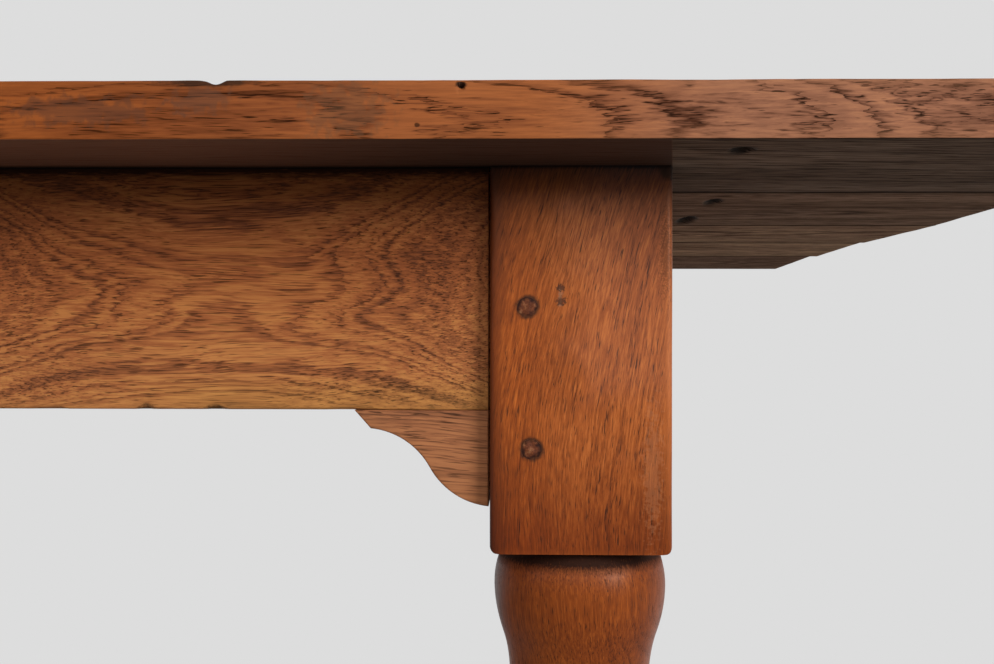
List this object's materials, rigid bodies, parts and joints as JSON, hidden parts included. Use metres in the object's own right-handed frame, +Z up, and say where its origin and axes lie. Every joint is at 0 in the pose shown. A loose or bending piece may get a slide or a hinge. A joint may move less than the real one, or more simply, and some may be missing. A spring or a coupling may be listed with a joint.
{
  "type": "refectory table",
  "caption": "Long oak refectory table: boarded top on turned legs with square blocks, pegged rails with ogee brackets and low stretchers, for dining.",
  "frame": {"origin": "on the floor below the middle of the top", "axes": "+X along the length of the table, -Y towards the front, +Z up"},
  "size_m": [2.424, 0.95, 0.77],
  "materials": {
    "top_oak": "waxed, worn",
    "leg_oak": "waxed, worn",
    "rail_oak": "waxed, worn",
    "stretcher_oak": "waxed, rubbed by feet",
    "inner_oak": "bare, darkened",
    "peg_oak": "waxed, dark end grain"
  },
  "bodies": {
    "root": {"top_plank_1": "top_oak", "top_plank_2": "top_oak", "top_plank_3": "top_oak", "top_plank_4": "top_oak", "top_plank_5": "top_oak", "leg_front_left": "leg_oak", "leg_front_right": "leg_oak", "leg_back_left": "leg_oak", "leg_back_right": "leg_oak", "rail_front": "rail_oak", "rail_back": "rail_oak", "rail_left": "rail_oak", "rail_right": "rail_oak", "bracket_front_left": "rail_oak", "bracket_front_right": "rail_oak", "bracket_back_left": "rail_oak", "bracket_back_right": "rail_oak", "bracket_left_front": "rail_oak", "bracket_right_front": "rail_oak", "bracket_left_back": "rail_oak", "bracket_right_back": "rail_oak", "stretcher_left": "stretcher_oak", "stretcher_right": "stretcher_oak", "stretcher_middle": "stretcher_oak", "bearer_left": "inner_oak", "bearer_middle": "inner_oak", "bearer_right": "inner_oak", "top_tongue_1": "inner_oak", "top_tongue_2": "inner_oak", "top_tongue_3": "inner_oak", "top_tongue_4": "inner_oak", "rail_pegs": "peg_oak", "bracket_pegs": "peg_oak", "stretcher_pegs": "peg_oak", "top_pegs": "peg_oak"}
  },
  "joints": []
}
